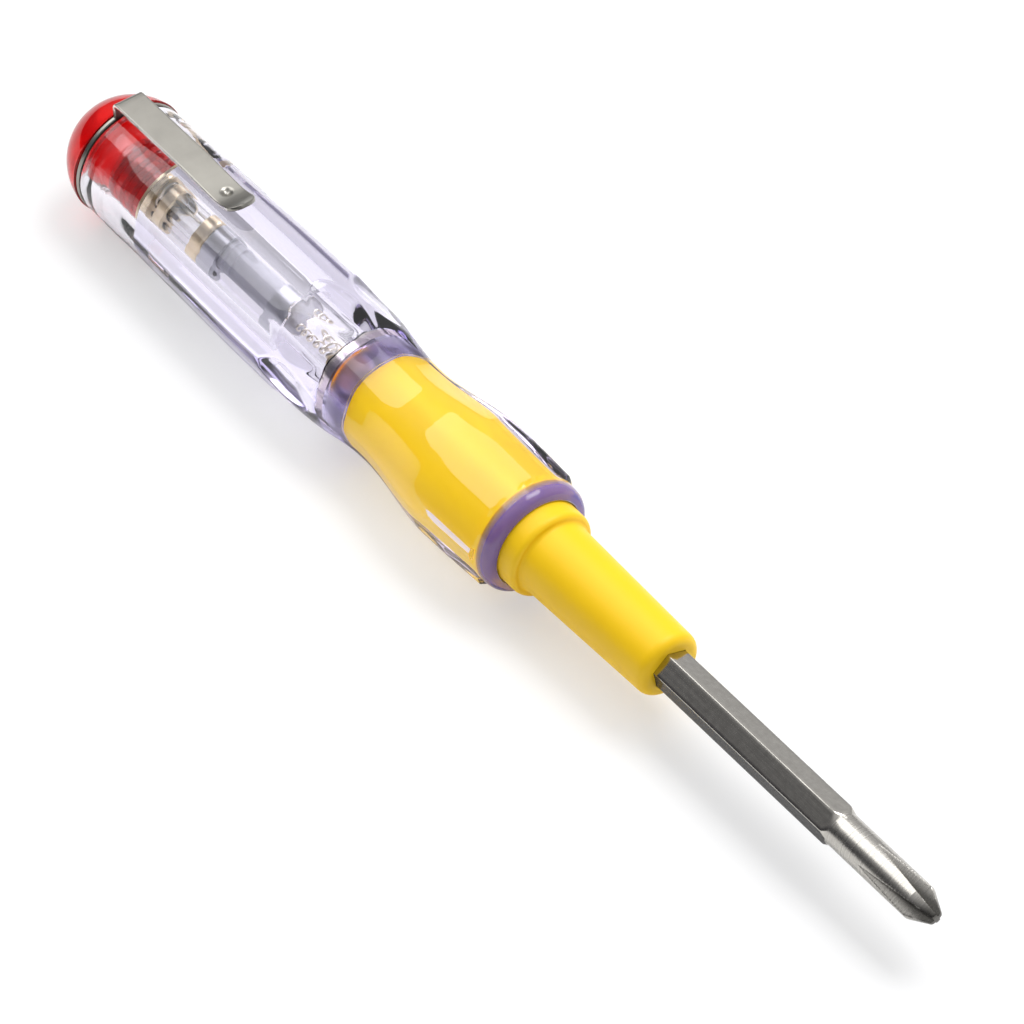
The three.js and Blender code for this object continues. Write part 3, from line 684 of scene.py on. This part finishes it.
# Front spring. Six coils of nickel-plated wire between the resistor's cup and the plunger's flange.
# It is wound by a node tree: a spiral along the axis, with a round section swept along it.
front_spring_rear = 40.1
front_spring_front = 48.9
front_spring_radius = 0.9
front_wire = 0.2
spring_turns = 6.0
wire_sharp = radians(60)
turn_points = 40
section_points = 12
nickels = ((0.90, 0.84, 0.72), (0.97, 0.93, 0.84))

nickel = Finish("nickel")
wear = nickel.noise(scale=900, detail=4)
nickel.surface(
    Base_Color=nickel.blend(wear, *nickels),
    Metallic=1.0,
    Roughness=0.3 + 0.14 * wear,
    Normal=nickel.bump(wear, depth=0.00002, strength=0.5),
)


def wound_wire():
    """The node tree of a coil, with its sizes as named inputs in metres."""
    tree = bpy.data.node_groups.new("wound_wire", "GeometryNodeTree")
    sockets = {}
    for name, kind in (
        ("Turns", "NodeSocketFloat"),
        ("Radius", "NodeSocketFloat"),
        ("Length", "NodeSocketFloat"),
        ("Wire", "NodeSocketFloat"),
        ("Start", "NodeSocketVector"),
        ("Finish", "NodeSocketMaterial"),
    ):
        sockets[name] = tree.interface.new_socket(name, in_out="INPUT", socket_type=kind).identifier
    tree.interface.new_socket("Geometry", in_out="OUTPUT", socket_type="NodeSocketGeometry")
    given = tree.nodes.new("NodeGroupInput").outputs

    def node(kind, **inputs):
        made = tree.nodes.new(kind)
        for key, value in inputs.items():
            socket = made.inputs[key.replace("_", " ")]
            if isinstance(value, bpy.types.NodeSocket):
                tree.links.new(value, socket)
            else:
                socket.default_value = value
        return made.outputs[0]

    spiral = node(
        "GeometryNodeCurveSpiral", Resolution=turn_points, Rotations=given["Turns"],
        Start_Radius=given["Radius"], End_Radius=given["Radius"], Height=given["Length"],
    )
    laid = node(
        "GeometryNodeTransform", Geometry=spiral, Translation=given["Start"],
        Rotation=(0, radians(90), 0),
    )
    section = node("GeometryNodeCurvePrimitiveCircle", Resolution=section_points, Radius=given["Wire"])
    swept = node("GeometryNodeCurveToMesh", Curve=laid, Profile_Curve=section, Fill_Caps=True)
    solid = node("GeometryNodeRealizeInstances", Geometry=swept)
    dressed = node("GeometryNodeSetMaterial", Geometry=solid, Material=given["Finish"])
    tree.links.new(dressed, tree.nodes.new("NodeGroupOutput").inputs[0])
    return tree, sockets


wire_tree, wire_inputs = wound_wire()


def coil(name, start, end, radius, wire, turns, finish):
    """A wire wound from one station to another, as a plain mesh."""
    holder = add_object(name, bpy.data.meshes.new(name))
    winding = holder.modifiers.new("winding", "NODES")
    winding.node_group = wire_tree
    sizes = {
        "Turns": turns,
        "Radius": radius * mm,
        "Length": (end - start - 2 * wire) * mm,
        "Wire": wire * mm,
        "Start": (rear_face + (start + wire) * mm, 0, axis_height),
        "Finish": finish.material,
    }
    for key, value in sizes.items():
        winding[wire_inputs[key]] = value
    tidy_mesh(made_mesh(holder, winding), wire_sharp)
    return holder


def sprung(piece, end_body, fixed, moving, node):
    """Bakes a spring's place into its mesh and hides its plain solid."""
    at(fixed, 0, 0)
    at(moving, 0, 0)
    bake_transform(piece)
    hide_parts(node)


front_ends = (front_spring_rear, front_spring_front)
front_spring = coil("front_spring", *front_ends, front_spring_radius, front_wire, spring_turns, nickel)
sprung(front_spring, "plunger", *front_ends, "front_spring")

# Resistor. A grey moulded rod with two ring grooves, with a pressed cup of satin nickel on each end.
# It lies loose in the chamber, between the lamp and the front spring.
resistor_rear = 22.1
resistor_front = 39.9
rod_radius = 2.5
cup_radius = 3.0
cup_sheet = 0.4
cup_round = 0.5
cup_seat = cup_sheet + 0.1
cup_count = 60
resistor_cup = 3.3
groove_depth = 0.25
groove_width = 0.7
groove_slope = 0.15
groove_pitch = 1.6
groove_number = 2
resistor_greys = ((0.58, 0.59, 0.64), (0.72, 0.73, 0.77))
satin_nickels = ((0.58, 0.59, 0.62), (0.70, 0.71, 0.74))

grey = Finish("resistor_grey")
speckle = grey.noise(scale=1500, detail=4)
grey.surface(
    Base_Color=grey.blend(speckle, *resistor_greys),
    Roughness=0.45 + 0.15 * speckle,
    IOR=1.5,
)

satin = Finish("satin_nickel")
dulling = satin.noise(scale=700)
satin.surface(
    Base_Color=satin.blend(dulling, *satin_nickels),
    Metallic=1.0,
    Roughness=0.42 + 0.12 * dulling,
)


def cup(name, floor, mouth, finish, slot, node):
    """A pressed cup with a rounded floor edge, open towards its mouth."""
    way = 1 if mouth > floor else -1
    inner = floor + way * cup_sheet
    rounding = arc(0, cup_radius - cup_round, cup_round, 180, 90, 5)
    profile = [(floor, 0)] + [(floor + way * (cup_round + s), r) for s, r in rounding] + [(mouth, cup_radius)]
    profile += [(mouth, cup_radius - cup_sheet), (inner, cup_radius - cup_sheet), (inner, 0)]
    settle(turned(name, profile, finish, count=cup_count), "handle", slot, node)


rod_rear = resistor_rear + cup_seat
rod_front = resistor_front - cup_seat
profile = [(rod_rear, 0), (rod_rear, rod_radius)]
for k in range(groove_number):
    groove = resistor_rear + resistor_cup + groove_width + k * groove_pitch
    floor_radius = rod_radius - groove_depth
    profile += [(groove, rod_radius), (groove + groove_slope, floor_radius)]
    profile += [(groove + groove_width - groove_slope, floor_radius), (groove + groove_width, rod_radius)]
profile += [(rod_front, rod_radius), (rod_front, 0)]
settle(turned("resistor", profile, grey, count=cup_count), "handle", "resistor_grey", "resistor_body")
rear_mouth = resistor_rear + resistor_cup
front_mouth = resistor_front - resistor_cup
cup("resistor_rear_cup", resistor_rear, rear_mouth, satin, "nickel", "resistor_cup_rear")
cup("resistor_front_cup", resistor_front, front_mouth, satin, "nickel", "resistor_cup_front")

# Lamp. A neon tube of thin glass between two pressed brass cups, with two nickel electrodes side by side.
# It lies loose in the chamber, between the contact spring and the resistor.
lamp_rear = 12.0
lamp_front = 22.0
lamp_cup = 2.0
glass_rear = lamp_rear + cup_seat
glass_front = lamp_front - cup_seat
glass_radius = 2.5
glass_wall = 0.5
electrode_radius = 0.35
electrode_spread = 0.85
electrode_length = 5.6
electrode_count = 24
glass_white = (0.97, 0.97, 0.96)

glass = Finish("lamp_glass")
glass.surface(
    Base_Color=glass_white,
    Roughness=0.01 + 0.02 * glass.noise(scale=500, detail=2),
    IOR=1.5,
    Transmission_Weight=1.0,
)
tube = [(glass_rear, glass_radius - glass_wall), (glass_rear, glass_radius)]
tube += [(glass_front, glass_radius), (glass_front, glass_radius - glass_wall)]
settle(turned("lamp_tube", tube, glass, loop=True, count=cup_count), "handle", "lamp_glass", "lamp_glass")
cup("lamp_rear_cup", lamp_rear, lamp_rear + lamp_cup, brass, "brass", "lamp_cup_rear")
cup("lamp_front_cup", lamp_front, lamp_front - lamp_cup, brass, "brass", "lamp_cup_front")
for end, root, way in (("rear", glass_rear, 1), ("front", glass_front, -1)):
    tip_arc = arc(electrode_length - electrode_radius, 0, electrode_radius, 90, 0, 6)
    profile = [(root, 0), (root, electrode_radius)] + [(root + way * s, r) for s, r in tip_arc]
    rod = turned(f"electrode_{end}", profile, nickel, count=electrode_count)
    for vertex in rod.data.vertices:
        vertex.co.y -= way * electrode_spread * mm
    settle(rod, "handle", "nickel", f"lamp_electrode_{end}")

# Contact spring. Six coils of thicker nickel-plated wire, wound by the same node tree.
# It sits in the touch contact's cup and presses the lamp and resistor forward.
contact_spring_rear = 2.9
contact_spring_front = 11.9
contact_spring_radius = 2.05
contact_wire = 0.25

back_ends = (contact_spring_rear, contact_spring_front)
contact_spring = coil("contact_spring", *back_ends, contact_spring_radius, contact_wire, spring_turns, nickel)
sprung(contact_spring, "contact", *reversed(back_ends), "contact_spring")

# Touch contact. A pressed brass cup, flange and arm that carry the spring's circuit to the clip's ring.
# Its solid has the right shape, so it stays and takes the brass finish.
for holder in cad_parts["touch_contact"].material_slots:
    holder.material = brass.material

# Cap. A red translucent moulding: a dome over a hollow plug, with three turns of coarse thread round it.
# It screws into the handle's rear end and clamps the clip's ring.
dome_radius = 8.8
dome_base = -0.8
dome_edge = 0.25
dome_edge_turn = 80
dome_base_turn = 2
cap_count = 96
plug_radius = 5.1
plug_front = 10.6
plug_hollow = 3.2
plug_floor = 2.1
thread_round = 0.42
thread_turns = 3.0
thread_pitch = 2.0
thread_runout = 1.1
thread_sink = 0.08

dome_reds = ((0.55, 0.004, 0.008), (1.0, 0.035, 0.03))
dome_patches = (0.42, 0.6)
# Painted light: the plug is painted a lighter red than the dome, though both are one moulding.
plug_painted_light_red = (1.0, 0.12, 0.12)
plug_painted_light_rise = (-0.6, 0.4)
cap_tint = (0.97, 0.03, 0.03)
cap_density = 330

red = Finish("red_plastic")
swirl = red.noise(scale=160)
dome_red = red.blend(red.between(swirl, *dome_patches), *dome_reds)
red.surface(
    # The plug's part of the moulding is painted lighter, as painted light.
    Base_Color=red.blend(red.past(*plug_painted_light_rise), dome_red, plug_painted_light_red),
    Roughness=0.02 + 0.04 * swirl,
    IOR=1.33,
    Transmission_Weight=0.8,
    Normal=red.bump(swirl, depth=0.0001, strength=0.3),
).tint_inside(cap_tint, cap_density)

base_radius = sqrt(dome_radius ** 2 - dome_base ** 2)
base_angle = degrees(atan2(base_radius, dome_base)) + dome_base_turn
profile = arc(0, 0, dome_radius, 180, base_angle, 40)
profile[0] = (-dome_radius, 0)
profile += arc(dome_base - dome_edge, base_radius - dome_edge, dome_edge, dome_edge_turn, 0, 4)
profile += [(dome_base, plug_radius), (plug_front - bevel, plug_radius), (plug_front, plug_radius - bevel)]
profile += [(plug_front, plug_hollow), (plug_floor, plug_hollow), (plug_floor, 0)]
cap = turned("cap", profile, red, count=cap_count)
settle(cap, "cap", "red_plastic", "end_cap")
thread_rear = plug_front - thread_turns * thread_pitch - thread_runout
thread_middle = plug_radius + thread_sink
thread = coil("cap_thread", thread_rear, plug_front, thread_middle, thread_round, thread_turns, red)
settle(thread, "cap", "red_plastic", "end_cap")

# Clip. One stamping of nickel-plated spring steel: a ring under the dome, a foot bent up from it, and a strip
# along the barrel with a pressed dimple, a dip, a flared end and polished edges with a painted highlight. The
# cap clamps the ring.
sheet_thick = 0.6
clip_rear = -0.7
ring_inner = 5.8
ring_outer = 8.6
clip_ring_front = -0.1
clip_half = 2.3
clip_height = 10.9
clip_reach = 26.8
clip_bend = 1.0
clip_bend_end = 95
clip_end_radius = 1.7
clip_tip = clip_reach - 0.02
clip_least = 0.02
clip_dip = 0.35
clip_dip_length = 8.4
clip_flare = 1.2
clip_flare_length = 4.2
flare_start = clip_reach - clip_flare_length
foot_lap = 0.8
foot_step = 0.4
dimple_station = clip_reach - 4.4
dimple_radius = 0.95
dimple_depth = 0.4
dimple_floor = 0.15 * dimple_radius
dimple_span = 1.2
edge_round = 0.2
edge_steps = 6
face_steps = 28
face_share = 0.98
clip_sharp = radians(35)

satin_steels = ((0.26, 0.25, 0.225), (0.37, 0.355, 0.32))
# Painted highlight: the strip's long edges are painted a bright steel.
painted_highlight_steel = (0.88, 0.86, 0.80)
strip_rise = (9.4, 9.6)
painted_highlight_rise = (clip_half - 0.22, clip_half - 0.1)

plate = Finish("clip_steel")
brushing = plate.noise(scale=2400, detail=3, stretch=(1, 0.04, 1))
smudge = plate.noise(scale=220)
beside = plate.node("ShaderNodeMath", {"operation": "ABSOLUTE"}, {0: plate.coordinate("Y")})
on_strip = plate.between(plate.coordinate("Z"), *(axis_height + height * mm for height in strip_rise))
# Mask of the polished edges: it lowers their roughness and also carries their painted highlight.
polish_and_painted_highlight = on_strip * plate.between(beside, *(reach * mm for reach in painted_highlight_rise))
plate.surface(
    Base_Color=plate.blend(polish_and_painted_highlight, plate.blend(smudge, *satin_steels), painted_highlight_steel),
    Metallic=1.0,
    Roughness=0.2 + 0.12 * brushing + 0.1 * smudge - 0.12 * polish_and_painted_highlight,
    Normal=plate.bump(brushing, depth=0.00002, strength=0.5),
)


def clip_top(station):
    """Height of the strip's outer face above the axis."""
    dip = clip_dip * ease(station, flare_start - clip_dip_length, flare_start)
    return clip_height - dip + clip_flare * max(0, (station - flare_start) / clip_flare_length) ** 2


def clip_width(station):
    return clip_half - fillet(station - (clip_reach - clip_end_radius), clip_end_radius)


def strip_section(centre, along, half):
    """A flat section with rounded edges, across a strip that runs along a direction at a centre point."""
    thick = sheet_thick / 2
    reach = max(half - thick, clip_least)
    face = [face_share * (2 * k / face_steps - 1) * reach for k in range(face_steps + 1)]
    edge = []
    for k in range(edge_steps + 1):
        turn = radians(90 - 180 * k / edge_steps)
        middle = (thick - edge_round) * (1 if sin(turn) > 0 else -1)
        edge.append((reach + edge_round * cos(turn), middle + edge_round * sin(turn)))
    half_way = [(across, thick) for across in face] + edge
    ring = []
    for across, rise in half_way + [(-across, -rise) for across, rise in half_way]:
        station = centre[0] - along[1] * rise
        height = centre[1] + along[0] * rise
        gap = sqrt((station - dimple_station) ** 2 + across ** 2)
        height -= dimple_depth * (1 - ease(gap, dimple_floor, dimple_radius))
        ring.append((rear_face + station * mm, -across * mm, axis_height + height * mm))
    return ring


bend_centre = (clip_rear + clip_bend, clip_height - clip_bend)
path = [(clip_rear + sheet_thick / 2, ring_outer - foot_lap + k * foot_step) for k in range(4)]
path += arc(*bend_centre, clip_bend - sheet_thick / 2, 180, clip_bend_end, 10)
strip_stations = stations(
    clip_rear + clip_bend,
    (dimple_station - dimple_span, 24),
    (dimple_station + dimple_span, 20),
    (clip_tip, 24),
)
path += [(station, clip_top(station) - sheet_thick / 2) for station in strip_stations]
rings = []
for k, point in enumerate(path):
    ahead = path[min(k + 1, len(path) - 1)]
    behind = path[max(k - 1, 0)]
    along = Vector((ahead[0] - behind[0], ahead[1] - behind[1])).normalized()
    rings.append(strip_section(point, along, clip_width(point[0])))
strip = skin("clip", rings, plate, sharp=clip_sharp)
settle(strip, "clip", "clip_steel", "pocket_clip")
clip_washer = washer(clip_rear, clip_ring_front, ring_inner, ring_outer)
clip_ring = turned("clip_ring", clip_washer, plate, loop=True, count=cap_count)
settle(clip_ring, "clip", "clip_steel", "pocket_clip")

# Bit. A 5 mm hex bar of drawn steel with painted shade on its lower flats, turned down at both ends, with a
# cross point milled in front and a blade behind, and painted shade in the roots of its flutes. It slides in
# the sleeve's hex bore and is turned end for end.
bit_rear = 65.4
bit_tip = bit_rear + 100
turned_radius = 2.42
turned_length = 17.4
hex_rear = bit_rear + turned_length
hex_front = bit_tip - turned_length
hex_chamfer = 0.9
hex_edge_round = 0.2
hex_corner = hex_flats / 2 / cos(pi / 6)
cross_nose = 0.85
cross_cone = radians(26.5)
cone_round = 0.08
nose_round = 0.3
flute_length = 11.6
flute_runout = 2
flute_core = 0.42
flute_opening = radians(88)
flute_turn = radians(-15)
flute_round = 0.05
blade_thick = 0.9
blade_length = 9
least_facing = 0.01
bit_count = 240
corner_steps = (-8, -6, -4.5, -3, -2, -1, 0, 1, 2, 3, 4.5, 6, 8)
bit_sharp = radians(25)

ground_steels = ((0.42, 0.40, 0.365), (0.60, 0.58, 0.53))
# Painted shade: the hex's downward-facing flats are painted near black.
painted_shade_steel = (0.055, 0.052, 0.05)
lathed_steels = ((0.30, 0.285, 0.26), (0.62, 0.60, 0.555))
# Painted shade: near the axis, in the roots of the flutes and at the nose, the point is painted near black.
flute_painted_shade_steel = (0.12, 0.115, 0.105)
flute_painted_shade_depths = (1.1, 2.36)
lathe_scale = 5200
turned_rise = (hex_front - 0.4, hex_front)
painted_shade_slope = (-0.15, 0.0)

steel = Finish("bit_steel")
lengthwise = steel.noise(scale=1800, detail=4, stretch=(0.03, 1, 1))
mottle = steel.noise(scale=1300, detail=5)
lathing = {"W": steel.coordinate("X"), "Scale": lathe_scale, "Detail": 2}
lathe_lines = steel.node("ShaderNodeTexNoise", {"noise_dimensions": "1D"}, lathing)
is_turned = steel.past(*turned_rise)
# Mask of the painted shade on the downward-facing flats, kept in the mesh.
lower_painted_shade = steel.painted("lower_flats_painted_shade")
drawn_and_painted_shade = steel.blend(lower_painted_shade, steel.blend(mottle, *ground_steels), painted_shade_steel)
on_axis = (0, 0, axis_height)
centred = steel.node("ShaderNodeVectorMath", {"operation": "SUBTRACT"}, {0: steel.place(), 1: on_axis})
outwards = steel.node("ShaderNodeVectorMath", {"operation": "MULTIPLY"}, {0: centred, 1: (0, 1, 1)})
from_axis = steel.node("ShaderNodeVectorMath", {"operation": "LENGTH"}, {0: outwards}, "Value")
# Painted shade: darker towards the axis, in the hollows of the flutes.
flute_painted_shade = 1 - steel.between(from_axis, *(depth * mm for depth in flute_painted_shade_depths))
milled_and_painted_shade = steel.blend(flute_painted_shade, steel.blend(lathe_lines, *lathed_steels), flute_painted_shade_steel)
relief = is_turned * lathe_lines + (1 - is_turned) * lengthwise
# On the lower flats the steel loses its metal and, with the low specular level, most of its reflection, as
# painted shade.
steel.surface(
    Base_Color=steel.blend(is_turned, drawn_and_painted_shade, milled_and_painted_shade),
    Metallic=1 - lower_painted_shade * (1 - is_turned),
    Roughness=0.08 + 0.14 * mottle + 0.12 * is_turned,
    Specular_IOR_Level=0.12,
    Normal=steel.bump(relief, depth=0.00002, strength=0.6),
)


def bit_envelope(station):
    """Radius of the round form that the hex and the point are cut to."""
    radius = turned_radius
    if hex_rear <= station <= hex_front:
        inwards = min(station - hex_rear, hex_front - station)
        radius = turned_radius + (hex_corner - turned_radius) * min(1, inwards / hex_chamfer)
    radius = soft_min(radius, cross_nose + (bit_tip - station) * tan(cross_cone), cone_round)
    return radius - fillet(station - (bit_tip - nose_round), nose_round)


def bit_radius(station, angle):
    radius = bit_envelope(station)
    if hex_rear <= station <= hex_front:
        radius = soft_min(radius, hex_radius(angle, hex_flats), hex_edge_round)
    quarter = angle - flute_turn - pi / 2 * round((angle - flute_turn) / (pi / 2))
    slope = (turned_radius - flute_core) / flute_length
    floor_height = flute_core + slope * (bit_tip - station)
    facing = cos(quarter) - abs(sin(quarter)) / tan(flute_opening / 2)
    if station > bit_tip - flute_length - flute_runout and facing > least_facing:
        radius = soft_min(radius, floor_height / facing, flute_round)
    if station < bit_rear + blade_length and abs(cos(angle)) > least_facing:
        rise = (turned_radius - blade_thick / 2) / blade_length
        radius = min(radius, (blade_thick / 2 + rise * (station - bit_rear)) / abs(cos(angle)))
    return radius


hex_corners = [hex_turn + k * pi / 3 for k in range(6)]
bit_angles = [2 * pi * k / bit_count for k in range(bit_count)]
bit_angles += [(turn + radians(step)) % (2 * pi) for turn in hex_corners for step in corner_steps]
bit_angles = sorted({round(turn, 4) for turn in bit_angles})
stops = [bit_rear] + stations(
    bit_rear,
    (bit_rear + blade_length, 16),
    (hex_rear, 4),
    (hex_rear + hex_chamfer, 8),
    (hex_front - hex_chamfer, 24),
    (hex_front, 10),
    (bit_tip - flute_length - flute_runout / 2, 6),
    (bit_tip - nose_round, 72),
    (bit_tip, 6),
)
rings = [[at(station, bit_radius(station, turn), turn) for turn in bit_angles] for station in stops]
bit = skin("bit", rings, steel, sharp=bit_sharp)


# Painted shade mask: points whose normals face down get the dark finish.
def painted_shade_facing_down(vertex):
    return 1 - ease(vertex.normal.z, *painted_shade_slope)


paint(bit, "lower_flats_painted_shade", painted_shade_facing_down)
settle(bit, "bit", "bit_steel", "reversible_bit")
